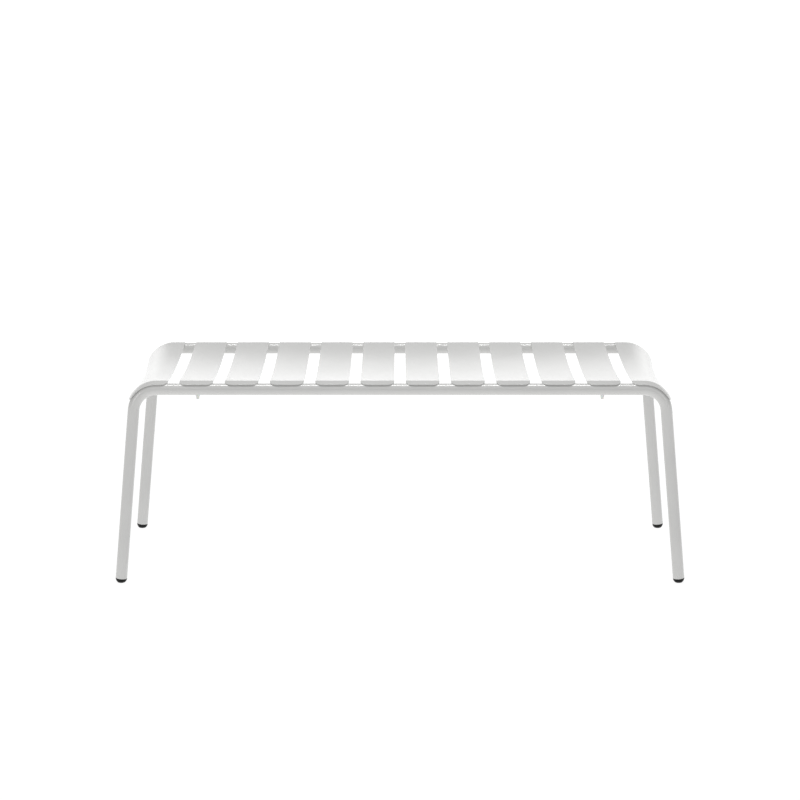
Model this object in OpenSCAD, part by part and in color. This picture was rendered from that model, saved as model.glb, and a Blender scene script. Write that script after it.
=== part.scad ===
// Backless garden bench. Two bent tube hoops, one in front and one behind, carry a row of
// dished sheet-metal slats. Plastic glides close the legs and small buffers sit under the rails.
// X runs along the seat, -Y is the front, Z is up. The origin is on the ground under the middle.

/* [Hoops] */
// Outer diameter of the hoop tube
tube_d = 25; // [20:0.5:30]
// Wall thickness of the hoop tube
tube_wall = 2; // [1:0.1:3]
// Height of the rail axes above the ground
rail_h = 432; // [340:1:540]
// Distance between the front and the rear rail axes
rail_spacing = 412; // [320:1:520]
// Centreline radius of the bend between rail and leg
bend_r = 50; // [42:1:70]
// Outward lean of the legs along the bench, in degrees
leg_lean = 5.6; // [2:0.1:8]

/* [Slats] */
// Number of plain slats between the two end slats
plain_slats = 10; // [4:1:14]
// Width of a plain slat
slat_w = 72.4; // [50:0.2:100]
// Gap between two neighbouring slats
slat_gap = 24.4; // [10:0.2:40]
// Thickness of the slat sheet
sheet_t = 2; // [1.5:0.1:3]
// Depth of the dish below its two ridges
dish_depth = 8.6; // [4:0.2:20]
// Outside radius of the ridge between dish and lip
ridge_r = 6; // [4:0.5:12]
// Downward tilt of the lip, in degrees
lip_tilt = 9; // [5:0.5:20]
// Length of the lip from the tube's contact line out to its free edge
lip_out = 7.5; // [3:0.5:12]
// Length of the lip from the tube's contact line in to the ridge
lip_in = 12.5; // [10:0.25:24]
// Radius of the four corners of every slat
corner_r = 15; // [4:0.5:18]

/* [End slats] */
// Length of an end slat along the straight rail
end_flat = 24.8; // [12:0.2:40]
// Angle through which an end slat follows the bend, in degrees
end_wrap = 66; // [40:0.2:76]

/* [Glides] */
// Height of a leg tube's end above the ground, which is the height of the glide's dome
glide_h = 9.8; // [7:0.1:9.9]
// Length of the glide's spigot inside the tube
spigot_len = 24; // [12:1:40]
// Wall thickness of the hollow spigot
spigot_wall = 2.2; // [1.5:0.1:3]
// Number of grip ribs round the spigot
spigot_ribs = 3; // [2:1:4]
// Radial clearance between the spigot's body and the tube's bore
spigot_clear = 0.5; // [0.2:0.1:1]

/* [Buffers] */
// Distance of a buffer inboard of the middle of the outermost plain slat
buffer_inset = 3; // [0:0.5:20]
// Distance that a buffer stands out below its rail
buffer_h = 8.7; // [5:0.1:14]
// Diameter of a buffer where it meets the rail
buffer_top_d = 9; // [8:0.1:12]
// Diameter of a buffer at its lower end
buffer_tip_d = 6.4; // [5:0.1:8]
// Diameter of the buffer's stem
stem_d = 5.6; // [4:0.1:6]
// Radial clearance of the stem in its hole
stem_clear = 0.1; // [0.05:0.05:0.3]
// Diameter of the snap head inside the tube
snap_d = 7.4; // [6.8:0.1:9]
// Length of the snap head
snap_len = 4; // [2:0.5:6]

/* [Welds] */
// Length of the weld bead under each plain slat, on each rail
weld_len = 26; // [10:1:40]
// Radius of the bead's rounded face
weld_r = 2; // [1.5:0.1:3]
// Distance of the bead's middle from the contact line of tube and lip
weld_offset = 7.2; // [6:0.1:9]
// Length of the weld bead left free at each end of an end slat's straight part
weld_margin = 4; // [2:0.5:6]

/* [Hidden] */
tube_r = tube_d / 2;
bore_r = tube_r - tube_wall;
rail_y = rail_spacing / 2;
slat_pitch = slat_w + slat_gap;
plain_half = plain_slats * slat_pitch / 2;
end_slat_x = plain_half + slat_gap / 2;
rail_half = end_slat_x + end_flat;
bend_turn = 90 - leg_lean;
bend_z = rail_h - bend_r;
leg_len = (bend_z + bend_r * sin(leg_lean) - glide_h) / cos(leg_lean);
slat_count = plain_slats + 2;
buffer_x = plain_half - slat_pitch / 2 - buffer_inset;
spigot_r = bore_r - spigot_clear;
rib_h = spigot_len / (2 * spigot_ribs + 1);
cut_margin = 1;
corner_margin = 2;
flat_cut = 60;

// Slat section, with u outwards from the rail axis and w upwards from it.
skin_r = tube_r + sheet_t;
ridge_u = (skin_r - ridge_r) * sin(lip_tilt) - lip_in * cos(lip_tilt);
ridge_w = (skin_r - ridge_r) * cos(lip_tilt) + lip_in * sin(lip_tilt);
dish_half = rail_y + ridge_u;
dish_slope = 2 * atan(dish_depth / dish_half);
dish_r = dish_half / sin(dish_slope) - ridge_r;
dish_w = ridge_w + (dish_r + ridge_r) * cos(dish_slope);
ridge_steps = 6;
dish_steps = 24;
round_fn = 64;
tube_fn = 48;
dome_fn = 96;

metal_white = [0.93, 0.93, 0.92];
glide_black = [0.08, 0.08, 0.09];
buffer_grey = [0.84, 0.84, 0.82];

function two_digits(i) = i < 10 ? str("0", i) : str(i);
function slat_name(i) = str("slat_", two_digits(i));

// ---------------------------------------------------------------- placing

// The bend at the right end of a rail, turned so that its children stand at the
// given angle round the bend, with +X along the tube and +Z away from the bend's axis.
module at_bend(angle) {
    translate([rail_half, 0, bend_z]) rotate([0, angle, 0]) translate([0, 0, bend_r]) children();
}

// The centre of the right leg's cut end, with +Z up the leg.
module at_leg_end() {
    at_bend(bend_turn) translate([leg_len, 0, 0]) rotate([0, -90, 0]) children();
}

module mirrored_if(flip, axis) {
    if (flip) mirror(axis) children();
    else children();
}

// ---------------------------------------------------------------- hoops

// Ring-shaped cross-section of the tube.
module tube_section() {
    difference() {
        circle(r = tube_r, $fn = tube_fn);
        circle(r = bore_r, $fn = tube_fn);
    }
}

// Half of a hoop's bend and its leg.
module bend_and_leg() {
    translate([rail_half, 0, bend_z]) rotate([-90, -90, 0])
        rotate_extrude(angle = bend_turn, $fn = 2 * tube_fn) translate([bend_r, 0]) tube_section();
    at_bend(bend_turn) rotate([0, 90, 0]) linear_extrude(leg_len) tube_section();
}

// Straight rail with a round hole in its underside for each buffer's stem.
module rail() {
    difference() {
        translate([-rail_half, 0, rail_h]) rotate([0, 90, 0])
            linear_extrude(2 * rail_half) tube_section();
        for (side = [-1, 1])
            translate([side * buffer_x, 0, rail_h - tube_r - cut_margin])
                cylinder(d = stem_d + 2 * stem_clear, h = tube_r, $fn = round_fn);
    }
}

module hoop(y) {
    color(metal_white) translate([0, y, 0]) {
        rail();
        for (left = [0, 1]) mirror([left, 0, 0]) bend_and_leg();
    }
}

// ---------------------------------------------------------------- slats

// Points of one face of the sheet, from the free edge of the rear lip to the middle of the
// dish. The depth is 0 on the upper face and sheet_t on the lower one.
function ridge_point(angle, depth) = [
    rail_y + ridge_u + (ridge_r - depth) * cos(angle),
    ridge_w + (ridge_r - depth) * sin(angle)
];
function dish_point(angle, depth) = [
    (dish_r + depth) * sin(angle),
    dish_w - (dish_r + depth) * cos(angle)
];
function lip_point(depth) = [
    rail_y + (skin_r - depth) * sin(lip_tilt) + lip_out * cos(lip_tilt),
    (skin_r - depth) * cos(lip_tilt) - lip_out * sin(lip_tilt)
];
function half_face(depth) = concat(
    [lip_point(depth)],
    [for (i = [0 : ridge_steps])
        ridge_point(90 - lip_tilt + i * (lip_tilt + dish_slope) / ridge_steps, depth)],
    [for (i = [dish_steps - 1 : -1 : 0]) dish_point(i * dish_slope / dish_steps, depth)]
);
function reversed(list) = [for (i = [len(list) - 1 : -1 : 0]) list[i]];
function flipped(list) = [for (p = list) [-p[0], p[1]]];
function without_last(list) = [for (i = [0 : len(list) - 2]) list[i]];
function whole_face(depth) =
    concat(half_face(depth), reversed(flipped(without_last(half_face(depth)))));

// Closed section of the sheet, as [distance along Y, height above the rail axis].
section = concat(whole_face(0), reversed(whole_face(sheet_t)));

// Cuts the round corner at the rear lip of a slat whose right edge is at X = 0.
module corner_cut() {
    translate([0, rail_y, 0]) rotate([-lip_tilt, 0, 0])
        translate([-corner_r, lip_out - corner_r, tube_r - corner_margin])
            linear_extrude(sheet_t + 2 * corner_margin) difference() {
                square(corner_r + corner_margin);
                circle(r = corner_r, $fn = round_fn);
            }
}

// The two cuts of one edge of a slat: side is 1 for the right edge and -1 for the left one.
module edge_cuts(side) {
    for (rear = [0, 1])
        mirror([0, rear, 0]) mirrored_if(side < 0, [1, 0, 0]) corner_cut();
}

module plain_slat(i) {
    x = (i - (slat_count + 1) / 2) * slat_pitch;
    color(metal_white) translate([x, 0, rail_h]) difference() {
        translate([-slat_w / 2, 0, 0]) rotate([90, 0, 90]) linear_extrude(slat_w) polygon(section);
        for (side = [-1, 1]) translate([side * slat_w / 2, 0, 0]) edge_cuts(side);
    }
}

// The right end slat lies flat on the last of the rail and then follows the bend down.
module right_end_slat() {
    difference() {
        union() {
            translate([end_slat_x, 0, rail_h]) rotate([90, 0, 90])
                linear_extrude(end_flat) polygon(section);
            translate([rail_half, 0, bend_z]) rotate([-90, -90, 0])
                rotate_extrude(angle = end_wrap, $fn = 4 * round_fn)
                    polygon([for (p = section) [bend_r + p[1], p[0]]]);
        }
        translate([end_slat_x, 0, rail_h]) edge_cuts(-1);
        at_bend(end_wrap) edge_cuts(1);
    }
}

module slat(i) {
    if (i > 1 && i < slat_count) plain_slat(i);
    else color(metal_white) mirrored_if(i == 1, [1, 0, 0]) right_end_slat();
}

// ---------------------------------------------------------------- glides

// Domed foot with a flat on the ground, and a hollow ribbed spigot up the leg's bore.
module right_glide() {
    difference() {
        at_leg_end() sphere(r = tube_r, $fn = dome_fn);
        at_leg_end() translate([-flat_cut / 2, -flat_cut / 2, 0]) cube(flat_cut);
        translate([rail_half, -flat_cut / 2, -flat_cut]) cube([2 * flat_cut + bend_r, flat_cut, flat_cut]);
    }
    at_leg_end() difference() {
        union() {
            cylinder(r = spigot_r, h = spigot_len, $fn = round_fn);
            for (i = [1 : spigot_ribs])
                translate([0, 0, (2 * i - 1) * rib_h])
                    cylinder(r1 = bore_r, r2 = spigot_r, h = rib_h, $fn = round_fn);
        }
        translate([0, 0, spigot_wall])
            cylinder(r = spigot_r - spigot_wall, h = spigot_len, $fn = round_fn);
    }
}

module glide(x_side, y_side) {
    color(glide_black) translate([0, y_side * rail_y, 0])
        mirrored_if(x_side < 0, [1, 0, 0]) right_glide();
}

// ---------------------------------------------------------------- buffers

// Tapered peg under the rail, with a stem through the wall and a snap head in the bore.
module buffer(x_side, y_side) {
    snap_seat = -sqrt(bore_r * bore_r - snap_d * snap_d / 4) + stem_clear;
    color(buffer_grey) translate([x_side * buffer_x, y_side * rail_y, rail_h]) {
        difference() {
            translate([0, 0, -tube_r - buffer_h])
                cylinder(d1 = buffer_tip_d, d2 = buffer_top_d, h = buffer_h + cut_margin, $fn = round_fn);
            translate([-buffer_top_d, 0, 0]) rotate([0, 90, 0])
                cylinder(r = tube_r, h = 2 * buffer_top_d, $fn = 2 * round_fn);
        }
        translate([0, 0, -tube_r - buffer_h / 2])
            cylinder(d = stem_d, h = snap_seat + tube_r + buffer_h / 2, $fn = round_fn);
        translate([0, 0, snap_seat]) cylinder(d1 = snap_d, d2 = stem_d, h = snap_len, $fn = round_fn);
    }
}

// ---------------------------------------------------------------- welds

// Section of a bead in the wedge between the tube and the lip's underside, rear rail.
module bead_section() {
    rotate(-lip_tilt) difference() {
        translate([-weld_offset, tube_r - weld_r / 2]) circle(r = weld_r, $fn = round_fn);
        circle(r = tube_r, $fn = 2 * round_fn);
        translate([-weld_offset - weld_r, tube_r]) square(2 * weld_r);
    }
}

module bead(x, length) {
    translate([x - length / 2, rail_y, rail_h]) rotate([90, 0, 90])
        linear_extrude(length) bead_section();
}

module weld_beads(y_side) {
    color(metal_white) mirrored_if(y_side < 0, [0, 1, 0]) {
        for (i = [2 : slat_count - 1]) bead((i - (slat_count + 1) / 2) * slat_pitch, weld_len);
        for (side = [-1, 1]) bead(side * (end_slat_x + end_flat / 2), end_flat - 2 * weld_margin);
    }
}

// ---------------------------------------------------------------- assembly

hoop(-rail_y);  // front_hoop
hoop(rail_y);  // rear_hoop
for (i = [1 : slat_count]) slat(i);
glide(-1, -1);  // glide_front_left
glide(1, -1);  // glide_front_right
glide(-1, 1);  // glide_rear_left
glide(1, 1);  // glide_rear_right
buffer(-1, -1);  // buffer_front_left
buffer(1, -1);  // buffer_front_right
buffer(-1, 1);  // buffer_rear_left
buffer(1, 1);  // buffer_rear_right
weld_beads(-1);  // weld_beads_front
weld_beads(1);  // weld_beads_rear
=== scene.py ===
import logging
import math
from dataclasses import dataclass, field
from enum import Enum
from functools import cached_property
from typing import Callable

import bmesh
import bpy
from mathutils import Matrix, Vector


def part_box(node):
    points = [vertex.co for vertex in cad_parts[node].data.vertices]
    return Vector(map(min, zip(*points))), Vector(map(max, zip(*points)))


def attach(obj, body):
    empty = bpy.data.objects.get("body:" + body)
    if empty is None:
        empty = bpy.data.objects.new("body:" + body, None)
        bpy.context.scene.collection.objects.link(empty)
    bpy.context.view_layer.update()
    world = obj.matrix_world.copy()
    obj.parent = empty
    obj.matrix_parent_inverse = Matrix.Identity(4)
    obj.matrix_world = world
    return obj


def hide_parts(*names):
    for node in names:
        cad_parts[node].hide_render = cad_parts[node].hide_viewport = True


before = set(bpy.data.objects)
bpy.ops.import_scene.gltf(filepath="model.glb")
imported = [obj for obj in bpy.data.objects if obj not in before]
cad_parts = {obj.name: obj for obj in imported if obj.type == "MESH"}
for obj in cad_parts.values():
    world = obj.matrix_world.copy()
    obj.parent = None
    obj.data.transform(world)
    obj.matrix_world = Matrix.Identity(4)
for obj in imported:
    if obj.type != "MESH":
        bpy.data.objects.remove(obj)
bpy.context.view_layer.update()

log = logging.getLogger("garden_bench")

Place = tuple[float, float, float]
MM = 0.001


# ---------------------------------------------------------------------------
# Working at the bench: small helpers round Blender's own operators
# ---------------------------------------------------------------------------


class Axis(Enum):
    """The three directions of the bench's frame."""

    ALONG = (1.0, 0.0, 0.0)
    DEPTH = (0.0, 1.0, 0.0)
    UP = (0.0, 0.0, 1.0)


class Side(Enum):
    """The bench's two ends, with the sign of X."""

    LEFT = -1
    RIGHT = 1


class Row(Enum):
    """The bench's two rails, with the sign of Y."""

    FRONT = -1
    REAR = 1


def deselect_all() -> None:
    """Leave object mode with nothing selected and nothing active."""
    if bpy.context.object and bpy.context.object.mode != "OBJECT":
        bpy.ops.object.mode_set(mode="OBJECT")
    bpy.ops.object.select_all(action="DESELECT")


class Workpiece:
    """One mesh under the hands: it is shaped in edit mode and finished with modifiers."""

    def __init__(self, obj: bpy.types.Object, name: str) -> None:
        """Take an object that an operator has just added.

        Args:
            obj: the new object.
            name: what the finished piece is called.
        """
        self.obj = obj
        obj.name = name
        obj.data.name = name

    @classmethod
    def from_point(cls, name: str, place: Place) -> "Workpiece":
        """Start from a single point.

        Args:
            name: what the finished piece is called.
            place: where the point lies, in metres.

        Returns:
            The workpiece, in edit mode with its point selected.
        """
        deselect_all()
        bpy.ops.mesh.primitive_plane_add(size=MM, location=place)
        piece = cls(bpy.context.object, name)
        piece.settle()
        bpy.ops.object.mode_set(mode="EDIT")
        bpy.ops.mesh.select_all(action="SELECT")
        bpy.ops.mesh.merge(type="CENTER")
        return piece

    @classmethod
    def from_circle(cls, name: str, place: Place, radius: float, sides: int, turn: Place) -> "Workpiece":
        """Start from an open circle.

        Args:
            name: what the finished piece is called.
            place: the circle's centre, in metres.
            radius: its radius, in metres.
            sides: how many corners it has.
            turn: its turn about X, Y and Z, in radians.

        Returns:
            The workpiece, in edit mode with the circle selected.
        """
        deselect_all()
        bpy.ops.mesh.primitive_circle_add(
            vertices=sides, radius=radius, fill_type="NOTHING", location=place, rotation=turn
        )
        piece = cls(bpy.context.object, name)
        piece.settle()
        bpy.ops.object.mode_set(mode="EDIT")
        bpy.ops.mesh.select_all(action="SELECT")
        return piece

    def pick(self) -> None:
        """Make this the one selected and active object."""
        deselect_all()
        self.obj.select_set(True)
        bpy.context.view_layer.objects.active = self.obj

    def settle(self) -> None:
        """Put the object's place, turn and size into its mesh."""
        self.pick()
        bpy.ops.object.transform_apply(location=True, rotation=True, scale=True)

    def edit(self) -> None:
        """Open the mesh for editing."""
        if bpy.context.object is not self.obj or self.obj.mode != "EDIT":
            self.pick()
            bpy.ops.object.mode_set(mode="EDIT")

    def close(self) -> None:
        """Leave edit mode."""
        if self.obj.mode == "EDIT":
            bpy.ops.object.mode_set(mode="OBJECT")

    def select(self, test: Callable[[Vector], bool]) -> int:
        """Select the points that pass a test, and the edges and faces between them.

        Args:
            test: says whether a point at a place is wanted.

        Returns:
            How many points are selected.
        """
        self.edit()
        bpy.ops.mesh.select_mode(type="VERT")
        mesh = bmesh.from_edit_mesh(self.obj.data)
        count = 0
        for vert in mesh.verts:
            vert.select = test(vert.co)
            count += vert.select
        mesh.select_flush_mode()
        bmesh.update_edit_mesh(self.obj.data)
        return count

    def extrude(self, step: Vector | Place, cuts: int = 1) -> None:
        """Extrude what is selected along a straight step.

        Args:
            step: how far and which way, in metres.
            cuts: in how many equal lengths.
        """
        part = Vector(step) / cuts
        for _ in range(cuts):
            bpy.ops.mesh.extrude_region_move(TRANSFORM_OT_translate={"value": part})

    def spin(self, angle: float, centre: Place, axis: Place, steps: int) -> None:
        """Sweep what is selected round an axis.

        Args:
            angle: in radians, by the right-hand rule about the axis.
            centre: a point on the axis, in metres.
            axis: the axis's direction.
            steps: in how many equal steps.
        """
        bpy.ops.mesh.spin(steps=steps, angle=-angle, center=centre, axis=axis, dupli=False)

    def modify(self, kind: str, **settings: object) -> None:
        """Add a modifier and apply it.

        Args:
            kind: Blender's name for the modifier.
            settings: its settings.
        """
        self.close()
        self.pick()
        modifier = self.obj.modifiers.new(kind.title(), kind)
        for key, value in settings.items():
            setattr(modifier, key, value)
        bpy.ops.object.modifier_apply(modifier=modifier.name)

    def soften(self, width: float, steps: int, angle: float) -> None:
        """Round the edges where the faces meet at more than an angle.

        Args:
            width: how far the rounding reaches from an edge, in metres.
            steps: how many faces it has.
            angle: the smallest angle that is rounded, in radians.
        """
        self.modify("BEVEL", width=width, segments=steps, limit_method="ANGLE", angle_limit=angle)

    def scale(self, factor: Place, centre: Place) -> None:
        """Scale what is selected about a point.

        Args:
            factor: the scale along X, Y and Z.
            centre: the point that stays, in metres.
        """
        bpy.ops.transform.resize(value=factor, center_override=centre)

    def weld_doubles(self, gap: float = 0.01 * MM) -> None:
        """Join points that lie on each other and turn every face outwards.

        Args:
            gap: the largest distance between points that are joined, in metres.
        """
        self.edit()
        bpy.ops.mesh.select_all(action="SELECT")
        bpy.ops.mesh.remove_doubles(threshold=gap)
        bpy.ops.mesh.normals_make_consistent(inside=False)

    def face_up(self) -> None:
        """Turn the faces of an open sheet so that they point upwards."""
        self.weld_doubles()
        mesh = bmesh.from_edit_mesh(self.obj.data)
        if sum(face.normal.z * face.calc_area() for face in mesh.faces) < 0:
            bpy.ops.mesh.flip_normals()

    def smooth(self, angle: float = math.radians(40)) -> None:
        """Shade the faces smoothly where they meet at less than an angle.

        Args:
            angle: the largest angle that is shaded smoothly, in radians.
        """
        self.close()
        self.pick()
        bpy.ops.object.shade_smooth_by_angle(angle=angle)

    def copy(self, name: str) -> "Workpiece":
        """Copy the finished piece, with a mesh of its own.

        Args:
            name: what the copy is called.

        Returns:
            The copy.
        """
        self.close()
        self.pick()
        bpy.ops.object.duplicate(linked=False)
        return Workpiece(bpy.context.object, name)

    def move(self, step: Place) -> None:
        """Move the whole piece.

        Args:
            step: how far and which way, in metres.
        """
        self.close()
        self.obj.location = Vector(step)
        self.settle()

    def turn(self, angles: Place, step: Place = (0.0, 0.0, 0.0)) -> None:
        """Turn the whole piece about the origin and then move it.

        Args:
            angles: the turns about X, Y and Z, in radians.
            step: how far and which way it then moves, in metres.
        """
        self.close()
        self.obj.rotation_euler = angles
        self.obj.location = Vector(step)
        self.settle()

    def flip(self, axis: Axis) -> None:
        """Mirror the whole piece through the bench's middle.

        Args:
            axis: the direction that changes sign.
        """
        self.close()
        self.obj.scale = tuple(-1.0 if part else 1.0 for part in axis.value)
        self.settle()
        self.weld_doubles()
        self.close()

    def join(self, others: list["Workpiece"]) -> None:
        """Take other pieces into this one.

        Args:
            others: the pieces that end up in this one's mesh.
        """
        self.close()
        deselect_all()
        for other in others:
            other.obj.select_set(True)
        self.obj.select_set(True)
        bpy.context.view_layer.objects.active = self.obj
        bpy.ops.object.join()

    def remove(self) -> None:
        """Throw the piece away."""
        self.close()
        bpy.data.objects.remove(self.obj, do_unlink=True)


# ---------------------------------------------------------------------------
# Finishes
# ---------------------------------------------------------------------------


class Signal:
    """A number that varies over a surface, so that shader maths reads as Python."""

    def __init__(self, desk: "ShaderDesk", socket: bpy.types.NodeSocket) -> None:
        """Wrap an output socket.

        Args:
            desk: the material's desk, which adds the nodes.
            socket: the socket that carries the number.
        """
        self.desk = desk
        self.socket = socket

    def _math(self, operation: str, *values: "Signal | float") -> "Signal":
        """Add one Math node.

        Args:
            operation: Blender's name for it.
            values: its inputs in order.

        Returns:
            The node's result.
        """
        return self.desk.add("ShaderNodeMath", {"operation": operation}, dict(enumerate(values)))

    def __add__(self, other: "Signal | float") -> "Signal":
        """Add."""
        return self._math("ADD", self, other)

    def __rsub__(self, other: float) -> "Signal":
        """Take this from a number."""
        return self._math("SUBTRACT", other, self)

    def __mul__(self, other: "Signal | float") -> "Signal":
        """Multiply."""
        return self._math("MULTIPLY", self, other)

    __radd__ = __add__
    __rmul__ = __mul__

    def ramp(self, low: float, high: float) -> "Signal":
        """Spread the stretch from low to high over 0 to 1, with soft ends.

        Args:
            low: the value that becomes 0.
            high: the value that becomes 1.

        Returns:
            The spread signal.
        """
        settings = {"interpolation_type": "SMOOTHSTEP"}
        inputs = {"Value": self, "From Min": low, "From Max": high}
        return self.desk.add("ShaderNodeMapRange", settings, inputs)


class ShaderDesk:
    """Builds one material's nodes round its Principled shader."""

    def __init__(self, name: str) -> None:
        """Start a material.

        Args:
            name: the finish's name.
        """
        self.material = bpy.data.materials.new(name)
        self.material.use_nodes = True
        self.tree = self.material.node_tree
        self.shader = self.tree.nodes["Principled BSDF"]
        self.place = self.add("ShaderNodeTexCoord", {}, {}, "Object")

    def add(
        self, kind: str, settings: dict[str, object], inputs: dict[str | int, object], output: str | int = 0
    ) -> Signal:
        """Add a node of any kind.

        Args:
            kind: the node's type.
            settings: its settings, which are set first.
            inputs: values or signals, by the name or place of their sockets.
            output: the name or place of the socket that is wanted.

        Returns:
            That output.
        """
        node = self.tree.nodes.new(kind)
        for key, value in settings.items():
            setattr(node, key, value)
        for key, value in inputs.items():
            self.feed(node.inputs[key], value)
        return Signal(self, node.outputs[output])

    def feed(self, socket: bpy.types.NodeSocket, value: object) -> None:
        """Give a socket a value or link a signal to it.

        Args:
            socket: the input.
            value: a number, a colour or a signal.
        """
        if isinstance(value, Signal):
            self.tree.links.new(value.socket, socket)
        else:
            socket.default_value = value

    def noise(self, size: float, detail: float = 2.0, roughness: float = 0.5) -> Signal:
        """Cloudy noise over the surface.

        Args:
            size: the rough size of one cloud, in metres.
            detail: how many finer layers it has.
            roughness: how strong they are.

        Returns:
            The noise, round 0.5.
        """
        inputs = {"Vector": self.place, "Scale": 1 / size, "Detail": detail, "Roughness": roughness}
        return self.add("ShaderNodeTexNoise", {}, inputs)

    def along(self, axis: str) -> Signal:
        """The place along X, Y or Z, in metres."""
        return self.add("ShaderNodeSeparateXYZ", {}, {0: self.place}, axis)

    def height(self) -> Signal:
        """The height above the ground, in metres."""
        return self.along("Z")

    def blend(self, amount: Signal, low: tuple[float, ...], high: tuple[float, ...] | Signal) -> Signal:
        """Blend two colours.

        Args:
            amount: 0 gives the first colour and 1 the second.
            low: the first colour, or a signal that carries one.
            high: the second colour.

        Returns:
            The blended colour.
        """
        return self.add("ShaderNodeMix", {"data_type": "RGBA"}, {0: amount, 6: low, 7: high}, 2)

    def bump(self, height: Signal, depth: float, strength: float = 1.0) -> None:
        """Raise and sink the surface's shading.

        Args:
            height: the relief.
            depth: how deep a change of 1 in the relief is, in metres.
            strength: how much of it shows.
        """
        inputs = {"Strength": strength, "Distance": depth, "Height": height}
        self.feed(self.shader.inputs["Normal"], self.add("ShaderNodeBump", {}, inputs))

    def set(self, socket: str, value: object) -> None:
        """Set or link one of the shader's inputs.

        Args:
            socket: its name.
            value: a number, a colour or a signal.
        """
        self.feed(self.shader.inputs[socket], value)


@dataclass(frozen=True)
class PowderCoat:
    """Baked-on powder coat: a hard satin skin with a faint orange peel."""

    name: str
    colour: tuple[float, float, float, float]
    shade: tuple[float, float, float, float]
    roughness: float = 0.20
    gloss: float = 0.8
    roughness_spread: float = 0.04
    peel_size: float = 1.6 * MM
    peel_depth: float = 0.004 * MM
    grain_size: float = 0.35 * MM
    grain_share: float = 0.18
    cloud_size: float = 130 * MM
    cloud_edges: tuple[float, float] = (0.35, 0.65)
    scuff_size: float = 5 * MM
    scuff_edges: tuple[float, float] = (0.58, 0.74)
    scuff_height: float = 45 * MM
    scuff_colour: tuple[float, float, float, float] = (0.52, 0.50, 0.47, 1.0)
    scuff_share: float = 0.30
    scuff_roughness: float = 0.25

    def make(self) -> bpy.types.Material:
        """Build the material.

        Returns:
            The finish, ready to dress a piece.
        """
        desk = ShaderDesk(self.name)
        clouds = desk.noise(self.cloud_size, 3.0)
        base = desk.blend(clouds.ramp(*self.cloud_edges), self.colour, self.shade)
        near_ground = 1 - desk.height().ramp(0.3 * self.scuff_height, self.scuff_height)
        marks = desk.noise(self.scuff_size, 5.0, 0.65).ramp(*self.scuff_edges)
        scuffs = marks * near_ground * self.scuff_share
        desk.set("Base Color", desk.blend(scuffs, base, self.scuff_colour))
        peel = desk.noise(self.peel_size, 1.0)
        grain = desk.noise(self.grain_size, 1.0)
        fine = clouds * self.roughness_spread + (self.roughness - self.roughness_spread / 2)
        desk.set("Roughness", fine + scuffs * self.scuff_roughness)
        desk.set("IOR", 1.5)
        desk.set("Specular IOR Level", self.gloss)
        desk.bump(peel + grain * self.grain_share, self.peel_depth)
        return desk.material


@dataclass(frozen=True)
class MouldedPlastic:
    """Injection-moulded plastic with a fine spark-eroded grain."""

    name: str
    colour: tuple[float, float, float, float]
    worn_colour: tuple[float, float, float, float]
    roughness: float
    gloss: float
    grain_size: float = 0.4 * MM
    grain_depth: float = 0.03 * MM
    grain_roughness: float = 0.10
    flow_size: float = 12 * MM
    flow_edges: tuple[float, float] = (0.40, 0.70)
    worn_roughness: float = 0.15
    worn_height: float = 0.0
    translucency: float = 0.0

    def make(self) -> bpy.types.Material:
        """Build the material.

        Returns:
            The finish, ready to dress a piece.
        """
        desk = ShaderDesk(self.name)
        grain = desk.noise(self.grain_size, 2.0)
        flow = desk.noise(self.flow_size, 2.0)
        worn = flow.ramp(*self.flow_edges)
        if self.worn_height:
            worn = worn * (1 - desk.height().ramp(0.2 * self.worn_height, self.worn_height))
        desk.set("Base Color", desk.blend(worn, self.colour, self.worn_colour))
        fine = grain * self.grain_roughness + (self.roughness - self.grain_roughness / 2)
        desk.set("Roughness", fine + worn * self.worn_roughness)
        desk.set("IOR", 1.5)
        desk.set("Specular IOR Level", self.gloss)
        desk.set("Subsurface Weight", self.translucency)
        desk.set("Subsurface Scale", 2 * MM)
        desk.bump(grain, self.grain_depth)
        return desk.material


FRAME_COAT = PowderCoat("white_powder_coat_tube", (0.62, 0.62, 0.61, 1.0), (0.60, 0.60, 0.59, 1.0))
SLAT_COAT = PowderCoat("white_powder_coat_sheet", (0.62, 0.62, 0.61, 1.0), (0.60, 0.60, 0.59, 1.0))
WELD_COAT = PowderCoat(
    "white_powder_coat_weld", (0.62, 0.62, 0.61, 1.0), (0.57, 0.57, 0.56, 1.0), 0.40, peel_depth=0.06 * MM
)
GLIDE_PLASTIC = MouldedPlastic(
    "black_glide_plastic",
    (0.004, 0.004, 0.004, 1.0),
    (0.015, 0.015, 0.015, 1.0),
    0.5,
    0.2,
    worn_height=6 * MM,
)
BUFFER_PLASTIC = MouldedPlastic(
    "pale_buffer_plastic", (0.72, 0.72, 0.70, 1.0), (0.66, 0.66, 0.64, 1.0), 0.45, 0.5, translucency=0.15
)


@dataclass
class Finishes:
    """The bench's finishes, each built once and used on every piece that wears it."""

    built: dict[str, bpy.types.Material] = field(default_factory=dict)

    def dress(self, piece: Workpiece, finish: PowderCoat | MouldedPlastic) -> None:
        """Give a piece its finish.

        Args:
            piece: the finished piece.
            finish: what it wears.
        """
        if finish.name not in self.built:
            self.built[finish.name] = finish.make()
        piece.obj.data.materials.clear()
        piece.obj.data.materials.append(self.built[finish.name])


# ---------------------------------------------------------------------------
# The bench's sizes
# ---------------------------------------------------------------------------


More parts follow.
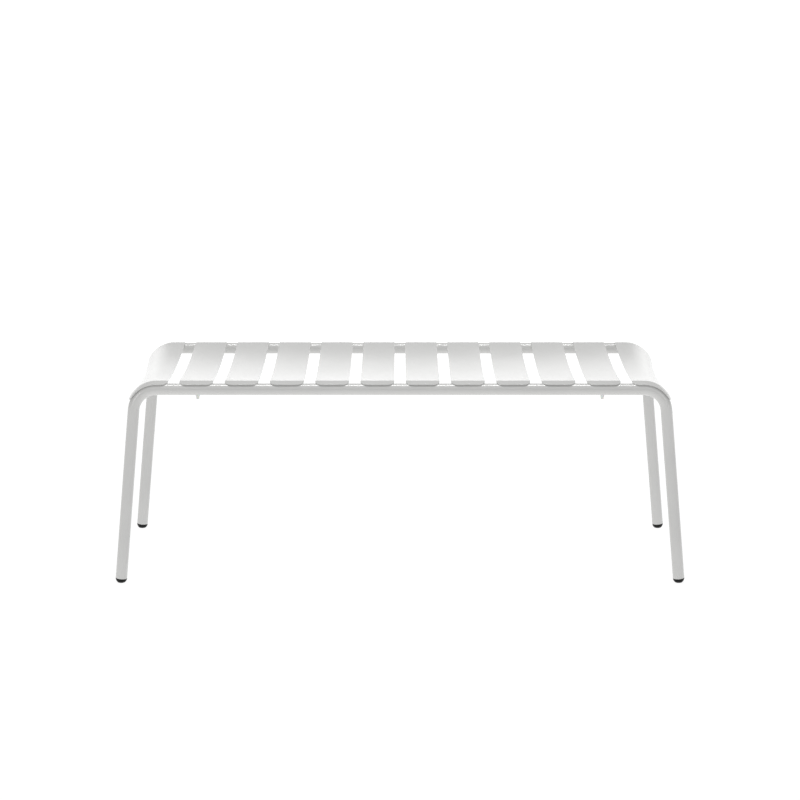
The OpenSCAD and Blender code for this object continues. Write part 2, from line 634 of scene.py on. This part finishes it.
@dataclass(frozen=True)
class BenchPlan:
    """Driving sizes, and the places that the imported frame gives."""

    tube_r: float = 12.5 * MM
    tube_wall: float = 2.0 * MM
    bend_r: float = 50.0 * MM
    leg_lean: float = math.radians(5.6)
    sheet_t: float = 2.0 * MM
    dish_depth: float = 8.6 * MM
    ridge_r: float = 6.0 * MM
    lip_tilt: float = math.radians(9.0)
    lip_out: float = 7.5 * MM
    lip_in: float = 12.5 * MM
    corner_r: float = 15.0 * MM
    end_flat: float = 24.8 * MM
    end_wrap: float = math.radians(66.0)
    glide_h: float = 9.8 * MM

    @cached_property
    def rail_y(self) -> float:
        """Half the distance between the two rail axes."""
        low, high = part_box("rear_hoop")
        return (low[1] + high[1]) / 2

    @cached_property
    def rail_z(self) -> float:
        """Height of the rail axes."""
        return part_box("front_hoop")[1][2] - self.tube_r

    @cached_property
    def end_slat_x(self) -> float:
        """Inner edge of the right end slat."""
        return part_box("slat_12")[0][0]

    @property
    def rail_half(self) -> float:
        """Half the length of a rail's straight part."""
        return self.end_slat_x + self.end_flat

    @property
    def bend_z(self) -> float:
        """Height of the axis that the bends turn round."""
        return self.rail_z - self.bend_r

    @property
    def bend_turn(self) -> float:
        """How far a bend turns, in radians."""
        return math.pi / 2 - self.leg_lean

    @property
    def leg_length(self) -> float:
        """Length of a leg's straight part."""
        rise = self.bend_z + self.bend_r * math.sin(self.leg_lean) - self.glide_h
        return rise / math.cos(self.leg_lean)

    @property
    def leg_end(self) -> Vector:
        """Centre of the right leg's cut end, in the plane of its hoop."""
        reach = self.bend_r * math.cos(self.leg_lean) + self.leg_length * math.sin(self.leg_lean)
        return Vector((self.rail_half + reach, 0.0, self.glide_h))

    @cached_property
    def buffer_x(self) -> float:
        """Distance of the buffers from the bench's middle."""
        low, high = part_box("buffer_front_right")
        return (low[0] + high[0]) / 2

    @property
    def skin_r(self) -> float:
        """Distance of a lip's upper face from the rail's axis."""
        return self.tube_r + self.sheet_t

    @property
    def ridge(self) -> Vector:
        """Axis of the rear ridge's rounding, as a point in the plane X = 0."""
        height = self.skin_r - self.ridge_r
        out = height * math.sin(self.lip_tilt) - self.lip_in * math.cos(self.lip_tilt)
        up = height * math.cos(self.lip_tilt) + self.lip_in * math.sin(self.lip_tilt)
        return Vector((0.0, self.rail_y + out, self.rail_z + up))

    @property
    def dish_slope(self) -> float:
        """Slope of the dish where it meets a ridge, in radians."""
        return 2 * math.atan(self.dish_depth / self.ridge.y)

    @property
    def dish_axis(self) -> Vector:
        """Axis of the dish's arc, as a point in the plane X = 0."""
        return Vector((0.0, 0.0, self.ridge.z + self.ridge.y / math.tan(self.dish_slope)))

    @property
    def lip_edge(self) -> Vector:
        """Free edge of the front lip's upper face, as a point in the plane X = 0."""
        out = self.skin_r * math.sin(self.lip_tilt) + self.lip_out * math.cos(self.lip_tilt)
        up = self.skin_r * math.cos(self.lip_tilt) - self.lip_out * math.sin(self.lip_tilt)
        return Vector((0.0, -self.rail_y - out, self.rail_z + up))


# ---------------------------------------------------------------------------
# Hoops
# ---------------------------------------------------------------------------


@dataclass
class Hoop:
    """One bent tube: a leg, a bend, the rail, a bend and a leg."""

    plan: BenchPlan
    row: Row
    sides: int = 64
    bend_steps: int = 36
    leg_cuts: int = 4
    hole_r: float = 2.9 * MM
    hole_margin: float = 9.0 * MM
    edge_r: float = 0.35 * MM

    def build(self, finishes: Finishes) -> None:
        """Bend the tube, hollow it, drill it and put it in the CAD hoop's place.

        Args:
            finishes: the bench's finishes.
        """
        plan = self.plan
        y = self.row.value * plan.rail_y
        lean = plan.leg_lean
        name = f"{self.row.name.lower()}_hoop"
        start = (-plan.leg_end.x, y, plan.leg_end.z)
        tube = Workpiece.from_circle(f"{name}_tube", start, plan.tube_r, self.sides, (0.0, lean, 0.0))
        leg = Vector((math.sin(lean), 0.0, math.cos(lean))) * plan.leg_length
        tube.extrude(leg, self.leg_cuts)
        tube.spin(plan.bend_turn, (-plan.rail_half, y, plan.bend_z), Axis.DEPTH.value, self.bend_steps)
        self._extrude_rail(tube)
        tube.spin(plan.bend_turn, (plan.rail_half, y, plan.bend_z), Axis.DEPTH.value, self.bend_steps)
        tube.extrude((leg.x, 0.0, -leg.z), self.leg_cuts)
        tube.weld_doubles()
        tube.modify("SOLIDIFY", thickness=plan.tube_wall, offset=-1.0, use_even_offset=True)
        for side in Side:
            self._drill(tube, side.value * plan.buffer_x, y)
        tube.soften(self.edge_r, 2, math.radians(50))
        tube.smooth(math.radians(35))
        finishes.dress(tube, FRAME_COAT)
        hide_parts(name)
        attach(tube.obj, "root")
        log.info("%s: one tube, %.0f mm across its feet", name, 2 * plan.leg_end.x / MM)

    def _extrude_rail(self, tube: Workpiece) -> None:
        """Extrude the straight rail, with a short length round each buffer's hole.

        Args:
            tube: the tube so far, with its open end selected.
        """
        plan = self.plan
        near = plan.buffer_x - self.hole_margin
        far = plan.buffer_x + self.hole_margin
        stops = [-plan.rail_half, -far, -near, near, far, plan.rail_half]
        for low, high in zip(stops, stops[1:]):
            tube.extrude((high - low, 0.0, 0.0))

    def _drill(self, tube: Workpiece, x: float, y: float) -> None:
        """Drill the hole for a buffer's stem through the rail's underside.

        Args:
            tube: the hollow tube.
            x: the hole's place along the bench.
            y: the rail's place.
        """
        plan = self.plan
        low = plan.rail_z - plan.tube_r - plan.tube_wall
        drill = Workpiece.from_circle("drill", (x, y, low), self.hole_r, 32, (0.0, 0.0, 0.0))
        bpy.ops.mesh.edge_face_add()
        drill.extrude((0.0, 0.0, plan.tube_r))
        drill.weld_doubles()
        drill.close()
        tube.modify("BOOLEAN", operation="DIFFERENCE", object=drill.obj, solver="EXACT")
        drill.remove()


# ---------------------------------------------------------------------------
# Slats
# ---------------------------------------------------------------------------


@dataclass
class SlatShop:
    """Presses the dished slats: ten plain ones and the two that follow the bends."""

    plan: BenchPlan
    ridge_steps: int = 10
    dish_steps: int = 56
    corner_steps: int = 10
    bend_steps: int = 28
    edge_r: float = 0.45 * MM

    def build(self, finishes: Finishes) -> None:
        """Make all the slats and put them in the CAD slats' places.

        Args:
            finishes: the bench's finishes.
        """
        plain = self._plain_slat()
        finishes.dress(plain, SLAT_COAT)
        for number in range(2, 12):
            node = f"slat_{number:02d}"
            low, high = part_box(node)
            slat = plain.copy(f"{node}_sheet")
            slat.move(((low[0] + high[0]) / 2, 0.0, 0.0))
            self._hand_over(slat, node)
        plain.remove()
        right = self._end_slat()
        finishes.dress(right, SLAT_COAT)
        left = right.copy("slat_01_sheet")
        left.flip(Axis.ALONG)
        left.smooth()
        self._hand_over(left, "slat_01")
        self._hand_over(right, "slat_12")
        log.info("slats: %d plain and 2 at the ends, %.1f mm sheet", 10, self.plan.sheet_t / MM)

    def _hand_over(self, slat: Workpiece, node: str) -> None:
        """Let a finished slat stand in for its CAD node.

        Args:
            slat: the slat.
            node: the CAD node.
        """
        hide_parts(node)
        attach(slat.obj, "root")

    def _section(self, name: str, x: float) -> Workpiece:
        """Draw the line of the sheet's upper face from the front lip to the rear one.

        Args:
            name: what the piece is called.
            x: where the line lies along the bench.

        Returns:
            The workpiece, in edit mode with the whole line selected.
        """
        plan = self.plan
        edge, ridge = plan.lip_edge, plan.ridge
        lip = plan.lip_out + plan.lip_in
        turn = plan.lip_tilt + plan.dish_slope
        rise = Vector((0.0, lip * math.cos(plan.lip_tilt), lip * math.sin(plan.lip_tilt)))
        line = Workpiece.from_point(name, (x, edge.y, edge.z))
        line.extrude(rise)
        line.spin(-turn, (x, -ridge.y, ridge.z), Axis.ALONG.value, self.ridge_steps)
        line.spin(2 * plan.dish_slope, (x, 0.0, plan.dish_axis.z), Axis.ALONG.value, self.dish_steps)
        line.spin(-turn, (x, ridge.y, ridge.z), Axis.ALONG.value, self.ridge_steps)
        line.extrude((0.0, rise.y, -rise.z))
        bpy.ops.mesh.select_all(action="SELECT")
        bpy.ops.mesh.remove_doubles(threshold=0.01 * MM)
        return line

    def _round_corners(self, slat: Workpiece, places: tuple[float, ...]) -> None:
        """Round the lip's corners on some of a slat's flat edges.

        Args:
            slat: the open sheet.
            places: where the edges lie along the bench.
        """
        reach = abs(self.plan.lip_edge.y) - 0.1 * MM
        slat.select(lambda co: abs(co.y) > reach and any(abs(co.x - x) < 0.01 * MM for x in places))
        bpy.ops.mesh.bevel(
            offset=self.plan.corner_r, segments=self.corner_steps, profile=0.5, affect="VERTICES"
        )

    def _thicken(self, slat: Workpiece) -> None:
        """Give the open sheet its thickness and soften its cut edges.

        Args:
            slat: the open sheet.
        """
        slat.face_up()
        slat.modify("SOLIDIFY", thickness=self.plan.sheet_t, offset=-1.0, use_even_offset=True)
        slat.soften(self.edge_r, 3, math.radians(55))
        slat.smooth()

    def _plain_slat(self) -> Workpiece:
        """Press one plain slat in the middle of the bench.

        Returns:
            The finished slat.
        """
        low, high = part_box("slat_02")
        width = high[0] - low[0]
        slat = self._section("plain_slat", -width / 2)
        slat.extrude((width, 0.0, 0.0))
        self._round_corners(slat, (-width / 2, width / 2))
        self._thicken(slat)
        return slat

    def _end_slat(self) -> Workpiece:
        """Press the right end slat, which runs on over the bend.

        Returns:
            The finished slat.
        """
        plan = self.plan
        centre = (plan.rail_half, 0.0, plan.bend_z)
        slat = self._section("slat_12_sheet", plan.end_slat_x)
        slat.extrude((plan.end_flat, 0.0, 0.0))
        arcs = [math.pi / 2 * step / self.corner_steps for step in range(self.corner_steps + 1)]
        reach = plan.bend_r + plan.tube_r
        turns = [plan.end_wrap - math.asin(plan.corner_r * (1 - math.sin(arc)) / reach) for arc in arcs]
        slat.spin(turns[0], centre, Axis.DEPTH.value, self.bend_steps)
        for before, after in zip(turns, turns[1:]):
            slat.spin(after - before, centre, Axis.DEPTH.value, 1)
        slat.weld_doubles()
        for turn, arc in zip(turns, arcs):
            self._trim(slat, turn, plan.corner_r * (1 - math.cos(arc)))
        self._round_corners(slat, (plan.end_slat_x,))
        self._thicken(slat)
        return slat

    def _trim(self, slat: Workpiece, turn: float, depth: float) -> None:
        """Draw the lips in at one line across the bend, as the round corner asks.

        Args:
            slat: the open sheet.
            turn: how far round the bend the line lies, in radians.
            depth: how far the lips are drawn in.
        """
        plan = self.plan
        edge = abs(plan.lip_edge.y) - 0.1 * MM
        up = Vector((math.sin(turn), 0.0, math.cos(turn)))
        for row in Row:
            found = slat.select(
                lambda co: co.y * row.value > edge
                and co.x > plan.rail_half
                and abs(math.atan2(co.x - plan.rail_half, co.z - plan.bend_z) - turn) < 1e-5
            )
            step = Vector((0.0, -row.value * math.cos(plan.lip_tilt), 0.0)) + up * math.sin(plan.lip_tilt)
            if found and depth:
                bpy.ops.transform.translate(value=step * depth)


# ---------------------------------------------------------------------------
# Glides, buffers and welds
# ---------------------------------------------------------------------------


@dataclass
class GlideSet:
    """The four domed plastic feet, each with a hollow ribbed spigot up its leg."""

    plan: BenchPlan
    dome_steps: int = 18
    sides: int = 64
    rim_r: float = 0.5 * MM
    spigot_len: float = 24.0 * MM
    spigot_wall: float = 2.2 * MM
    spigot_ribs: int = 3
    spigot_clear: float = 0.5 * MM
    edge_r: float = 0.3 * MM

    def build(self, finishes: Finishes) -> None:
        """Mould one glide and set it on all four legs.

        Args:
            finishes: the bench's finishes.
        """
        right = self._mould()
        finishes.dress(right, GLIDE_PLASTIC)
        left = right.copy("glide_left")
        left.flip(Axis.ALONG)
        left.smooth()
        for side, pattern in ((Side.LEFT, left), (Side.RIGHT, right)):
            for row in Row:
                node = f"glide_{row.name}_{side.name}".lower()
                glide = pattern.copy(f"{node}_foot")
                glide.move((0.0, row.value * self.plan.rail_y, 0.0))
                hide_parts(node)
                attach(glide.obj, "root")
            pattern.remove()
        log.info("glides: 4 domed feet, %.1f mm high", self.plan.glide_h / MM)

    def _mould(self) -> Workpiece:
        """Mould the right glide in the middle plane of its hoop.

        Returns:
            The finished glide.
        """
        plan = self.plan
        radius = plan.tube_r
        rim = self.rim_r
        glide = Workpiece.from_point("glide_right", (0.0, 0.0, -radius))
        turn = math.acos(rim / radius)
        glide.spin(-turn, (0.0, 0.0, 0.0), Axis.DEPTH.value, self.dome_steps)
        corner = Vector((radius * math.sin(turn) - rim, 0.0, -rim))
        glide.spin(-math.pi / 2, corner, Axis.DEPTH.value, 4)
        here = corner + Vector((0.0, 0.0, rim))
        for place in self._spigot_line():
            glide.extrude(place - here)
            here = place
        bpy.ops.mesh.select_all(action="SELECT")
        glide.spin(2 * math.pi, (0.0, 0.0, 0.0), Axis.UP.value, self.sides)
        glide.weld_doubles()
        glide.soften(self.edge_r, 2, math.radians(35))
        glide.turn((0.0, -plan.leg_lean, 0.0), (plan.leg_end.x, 0.0, plan.leg_end.z))
        glide.edit()
        bpy.ops.mesh.select_all(action="SELECT")
        bpy.ops.mesh.bisect(
            plane_co=(0.0, 0.0, 0.0),
            plane_no=Axis.UP.value,
            use_fill=True,
            clear_inner=True,
            threshold=0.001 * MM,
        )
        glide.weld_doubles()
        glide.smooth()
        return glide

    def _spigot_line(self) -> list[Vector]:
        """Corners of the spigot's outline, from the dome's rim to the bottom of its bore."""
        bore = self.plan.tube_r - self.plan.tube_wall
        body = bore - self.spigot_clear
        rib = self.spigot_len / (2 * self.spigot_ribs + 1)
        line = [(body, 0.0)]
        for number in range(1, self.spigot_ribs + 1):
            low = (2 * number - 1) * rib
            line += [(body, low), (bore, low), (body, low + rib)]
        inner = body - self.spigot_wall
        line += [(body, self.spigot_len), (inner, self.spigot_len)]
        line += [(inner, self.spigot_wall), (0.0, self.spigot_wall)]
        return [Vector((across, 0.0, up)) for across, up in line]


@dataclass
class BufferSet:
    """The four small pegs under the rails, which part stacked benches."""

    plan: BenchPlan
    height: float = 8.7 * MM
    top_r: float = 4.5 * MM
    tip_r: float = 3.2 * MM
    tip_round: float = 0.9 * MM
    stem_r: float = 2.8 * MM
    snap_r: float = 3.7 * MM
    snap_len: float = 4.0 * MM
    margin: float = 1.0 * MM
    sides: int = 48

    def build(self, finishes: Finishes) -> None:
        """Mould one buffer and press it into all four holes.

        Args:
            finishes: the bench's finishes.
        """
        pattern = self._mould()
        finishes.dress(pattern, BUFFER_PLASTIC)
        for side in Side:
            for row in Row:
                node = f"buffer_{row.name}_{side.name}".lower()
                peg = pattern.copy(f"{node}_peg")
                peg.move((side.value * self.plan.buffer_x, row.value * self.plan.rail_y, self.plan.rail_z))
                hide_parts(node)
                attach(peg.obj, "root")
        pattern.remove()
        log.info("buffers: 4 pegs, %.1f mm below the rails", self.height / MM)

    def _mould(self) -> Workpiece:
        """Mould one buffer about the rail axis at the origin.

        Returns:
            The finished buffer.
        """
        radius = self.plan.tube_r
        bottom = -radius - self.height
        peg = Workpiece.from_point("buffer", (0.0, 0.0, bottom))
        here = Vector((self.tip_r - self.tip_round, 0.0, bottom))
        peg.extrude(here - Vector((0.0, 0.0, bottom)))
        taper = math.atan((self.top_r - self.tip_r) / (self.height + self.margin))
        centre = here + Vector((0.0, 0.0, self.tip_round))
        peg.spin(-(math.pi / 2 - taper), centre, Axis.DEPTH.value, 6)
        here = centre + self.tip_round * Vector((math.cos(taper), 0.0, -math.sin(taper)))
        for across, up in ((self.top_r, self.margin - radius), (0.0, self.margin - radius)):
            place = Vector((across, 0.0, up))
            peg.extrude(place - here)
            here = place
        peg = self._turned(peg)
        self._saddle(peg)
        peg.join([self._stem()])
        peg.smooth()
        return peg

    def _turned(self, piece: Workpiece) -> Workpiece:
        """Spin a drawn outline into a solid about the vertical axis.

        Args:
            piece: the workpiece that holds the outline.

        Returns:
            The same workpiece.
        """
        bpy.ops.mesh.select_all(action="SELECT")
        piece.spin(2 * math.pi, (0.0, 0.0, 0.0), Axis.UP.value, self.sides)
        piece.weld_doubles()
        piece.close()
        return piece

    def _saddle(self, peg: Workpiece) -> None:
        """Cut the peg's top so that it sits round the rail.

        Args:
            peg: the peg.
        """
        reach = 2 * self.top_r
        turn = (0.0, math.pi / 2, 0.0)
        rail = Workpiece.from_circle("rail_gauge", (-reach, 0.0, 0.0), self.plan.tube_r, 128, turn)
        bpy.ops.mesh.edge_face_add()
        rail.extrude((2 * reach, 0.0, 0.0))
        rail.weld_doubles()
        rail.close()
        peg.modify("BOOLEAN", operation="DIFFERENCE", object=rail.obj, solver="EXACT")
        rail.remove()

    def _stem(self) -> Workpiece:
        """Mould the stem and its snap head.

        Returns:
            The stem.
        """
        bore = self.plan.tube_r - self.plan.tube_wall
        seat = 0.1 * MM - math.sqrt(bore**2 - self.snap_r**2)
        low = -self.plan.tube_r - self.height / 2
        stem = Workpiece.from_point("stem", (0.0, 0.0, low))
        here = Vector((0.0, 0.0, low))
        top = seat + self.snap_len
        line = ((self.stem_r, low), (self.stem_r, seat), (self.snap_r, seat), (self.stem_r, top), (0.0, top))
        for across, up in line:
            place = Vector((across, 0.0, up))
            stem.extrude(place - here)
            here = place
        return self._turned(stem)


@dataclass
class WeldBeads:
    """The fillet welds between a rail and the lips that lie on it."""

    plan: BenchPlan
    row: Row
    length: float = 26.0 * MM
    end_margin: float = 4.0 * MM
    radius: float = 2.0 * MM
    offset: float = 7.2 * MM
    ripple: float = 1.3 * MM
    ripple_depth: float = 0.10
    sides: int = 20

    def build(self, finishes: Finishes) -> None:
        """Lay a bead under every slat and join them into one piece.

        Args:
            finishes: the bench's finishes.
        """
        plan = self.plan
        node = f"weld_beads_{self.row.name}".lower()
        pattern = self._bead(self.length)
        beads: list[Workpiece] = []
        for number in range(2, 12):
            low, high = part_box(f"slat_{number:02d}")
            bead = pattern.copy(f"bead_{number}")
            bead.move(((low[0] + high[0]) / 2, 0.0, 0.0))
            beads.append(bead)
        pattern.remove()
        short = self._bead(plan.end_flat - 2 * self.end_margin)
        for side in Side:
            bead = short.copy(f"bead_{side.name}")
            bead.move((side.value * (plan.end_slat_x + plan.end_flat / 2), 0.0, 0.0))
            beads.append(bead)
        short.remove()
        run = beads[0]
        run.join(beads[1:])
        if self.row is Row.FRONT:
            run.flip(Axis.DEPTH)
        run = Workpiece(run.obj, f"{node}_run")
        run.smooth(math.radians(50))
        finishes.dress(run, WELD_COAT)
        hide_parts(node)
        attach(run.obj, "root")
        log.info("%s: %d beads", node, len(beads))

    def _bead(self, length: float) -> Workpiece:
        """Lay one bead in the wedge between the rear rail and a lip, at X = 0.

        Args:
            length: the bead's length.

        Returns:
            The bead.
        """
        plan = self.plan
        depth = plan.tube_r - self.radius / 2
        turn = (0.0, math.pi / 2, 0.0)
        centre = Vector((-length / 2, -self.offset, depth))
        bead = Workpiece.from_circle("bead", centre, self.radius, self.sides, turn)
        bpy.ops.mesh.edge_face_add()
        waves = max(2, round(length / self.ripple))
        for wave in range(waves):
            for share, size in ((0.6, 1 - self.ripple_depth), (0.4, 1 / (1 - self.ripple_depth))):
                step = length / waves * share
                bead.extrude((step, 0.0, 0.0))
                centre.x += step
                bead.scale((1.0, size, size), centre)
        bead.weld_doubles()
        bead.close()
        self._fit(bead, length)
        bead.turn((-plan.lip_tilt, 0.0, 0.0), (0.0, plan.rail_y, plan.rail_z))
        return bead

    def _fit(self, bead: Workpiece, length: float) -> None:
        """Cut the bead where the tube and the lip's underside lie.

        Args:
            bead: the round bead.
            length: its length.
        """
        bead.edit()
        bpy.ops.mesh.select_all(action="SELECT")
        bpy.ops.mesh.bisect(
            plane_co=(0.0, 0.0, self.plan.tube_r), plane_no=Axis.UP.value, use_fill=True, clear_outer=True
        )
        bead.close()
        turn = (0.0, math.pi / 2, 0.0)
        tube = Workpiece.from_circle("tube_gauge", (-length, 0.0, 0.0), self.plan.tube_r, 128, turn)
        bpy.ops.mesh.edge_face_add()
        tube.extrude((2 * length, 0.0, 0.0))
        tube.weld_doubles()
        tube.close()
        bead.modify("BOOLEAN", operation="DIFFERENCE", object=tube.obj, solver="EXACT")
        tube.remove()


# ---------------------------------------------------------------------------
# Studio
# ---------------------------------------------------------------------------


def grey(tone: float) -> tuple[float, float, float, float]:
    """A neutral colour of the given tone."""
    return (tone, tone, tone, 1.0)


@dataclass(frozen=True)
class SoftBox:
    """One large soft lamp."""

    name: str
    place: Place
    aim: Place
    width: float
    depth: float
    power: float

    def hang(self) -> None:
        """Add the lamp and point it at its aim."""
        deselect_all()
        bpy.ops.object.light_add(type="AREA", location=self.place)
        lamp = bpy.context.object
        lamp.name = self.name
        lamp.data.shape = "RECTANGLE"
        lamp.data.size = self.width
        lamp.data.size_y = self.depth
        lamp.data.energy = self.power
        direction = Vector(self.aim) - Vector(self.place)
        lamp.rotation_euler = direction.to_track_quat("-Z", "Y").to_euler()


@dataclass
class Studio:
    """Camera, a pale sweep that glows as painted light, and soft lights."""

    camera_place: Place = (0.0, -4.879, 1.539)
    camera_dip: float = math.radians(13.602)
    lens: float = 101.1
    floor_half: float = 30.0
    floor_near: float = -14.0
    floor_far: float = 40.0
    cove_r: float = 6.0
    wall_h: float = 8.0
    floor_glow: float = 0.95
    back_glow: float = 1.25
    back_reach: tuple[float, float] = (1.2, 2.6)
    wall_glow: float = 1.5
    wall_foot: tuple[float, float] = (0.3, 2.5)
    wall_top: tuple[float, float] = (3.0, 9.0)
    sky: float = 0.45
    lamps: tuple[SoftBox, ...] = (
        SoftBox("overhead", (0.0, 0.1, 3.4), (0.0, 0.0, 0.4), 1.8, 0.6, 48.0),
        SoftBox("left_strip", (-3.3, -2.9, 1.2), (-0.5, 0.0, 0.25), 0.5, 2.0, 18.0),
        SoftBox("right_strip", (3.3, -2.9, 1.2), (0.5, 0.0, 0.25), 0.5, 2.0, 10.0),
    )

    def build(self) -> None:
        """Set the studio up."""
        self._sweep()
        self._sky()
        for lamp in self.lamps:
            lamp.hang()
        self._camera()
        bpy.context.scene.view_settings.view_transform = "Standard"
        log.info("studio: sweep, %d soft boxes and the camera", len(self.lamps))

    def _camera(self) -> None:
        """Stand the camera in front of the bench."""
        deselect_all()
        bpy.ops.object.camera_add(
            location=self.camera_place, rotation=(math.pi / 2 - self.camera_dip, 0.0, 0.0)
        )
        camera = bpy.context.object
        camera.name = "camera"
        camera.data.lens = self.lens
        camera.data.sensor_width = 36.0
        camera.data.clip_end = 200.0
        bpy.context.scene.camera = camera

    def _sweep(self) -> None:
        """Roll out the floor and turn it up into a wall far behind the bench; it glows by itself as painted
        light, evenly on the floor, brighter behind the bench and brighter still in a band up the wall, which
        lights the bench and shows in its reflections.
        """
        sweep = Workpiece.from_point("sweep", (-self.floor_half, self.floor_near, 0.0))
        sweep.extrude((0.0, self.floor_far - self.floor_near, 0.0))
        centre = (-self.floor_half, self.floor_far, self.cove_r)
        sweep.spin(math.pi / 2, centre, Axis.ALONG.value, 16)
        sweep.extrude((0.0, 0.0, self.wall_h))
        bpy.ops.mesh.select_all(action="SELECT")
        sweep.extrude((2 * self.floor_half, 0.0, 0.0))
        sweep.face_up()
        sweep.smooth()
        desk = ShaderDesk("sweep_paper")
        tone = desk.noise(2.5, 2.0)
        desk.set("Base Color", desk.blend(tone, (0.11, 0.11, 0.11, 1.0), (0.13, 0.13, 0.13, 1.0)))
        desk.set("Roughness", 1.0)
        desk.set("Specular IOR Level", 0.0)
        height = desk.height()
        # painted light: the sweep glows stronger behind the bench and in a band up the wall, lighting the
        # bench from behind and showing in its reflections
        band = height.ramp(*self.wall_foot) * (1 - height.ramp(*self.wall_top))
        behind = desk.along("Y").ramp(*self.back_reach)
        floor = desk.blend(behind, grey(self.floor_glow), grey(self.back_glow))
        far = desk.blend(band, floor, grey(self.wall_glow))
        desk.set("Emission Color", far)
        desk.set("Emission Strength", 1.0)
        sweep.obj.data.materials.append(desk.material)

    def _sky(self) -> None:
        """Give the room its even white light."""
        world = bpy.data.worlds.new("studio_room")
        bpy.context.scene.world = world
        world.use_nodes = True
        background = world.node_tree.nodes["Background"]
        background.inputs["Color"].default_value = (1.0, 1.0, 1.0, 1.0)
        background.inputs["Strength"].default_value = self.sky


# ---------------------------------------------------------------------------
# The bench
# ---------------------------------------------------------------------------


def main() -> None:
    """Build the bench, dress it and light it."""
    logging.basicConfig(level=logging.INFO, format="%(message)s")
    plan = BenchPlan()
    finishes = Finishes()
    for row in Row:
        Hoop(plan, row).build(finishes)
        WeldBeads(plan, row).build(finishes)
    SlatShop(plan).build(finishes)
    GlideSet(plan).build(finishes)
    BufferSet(plan).build(finishes)
    Studio().build()


if __name__ == "__main__":
    main()
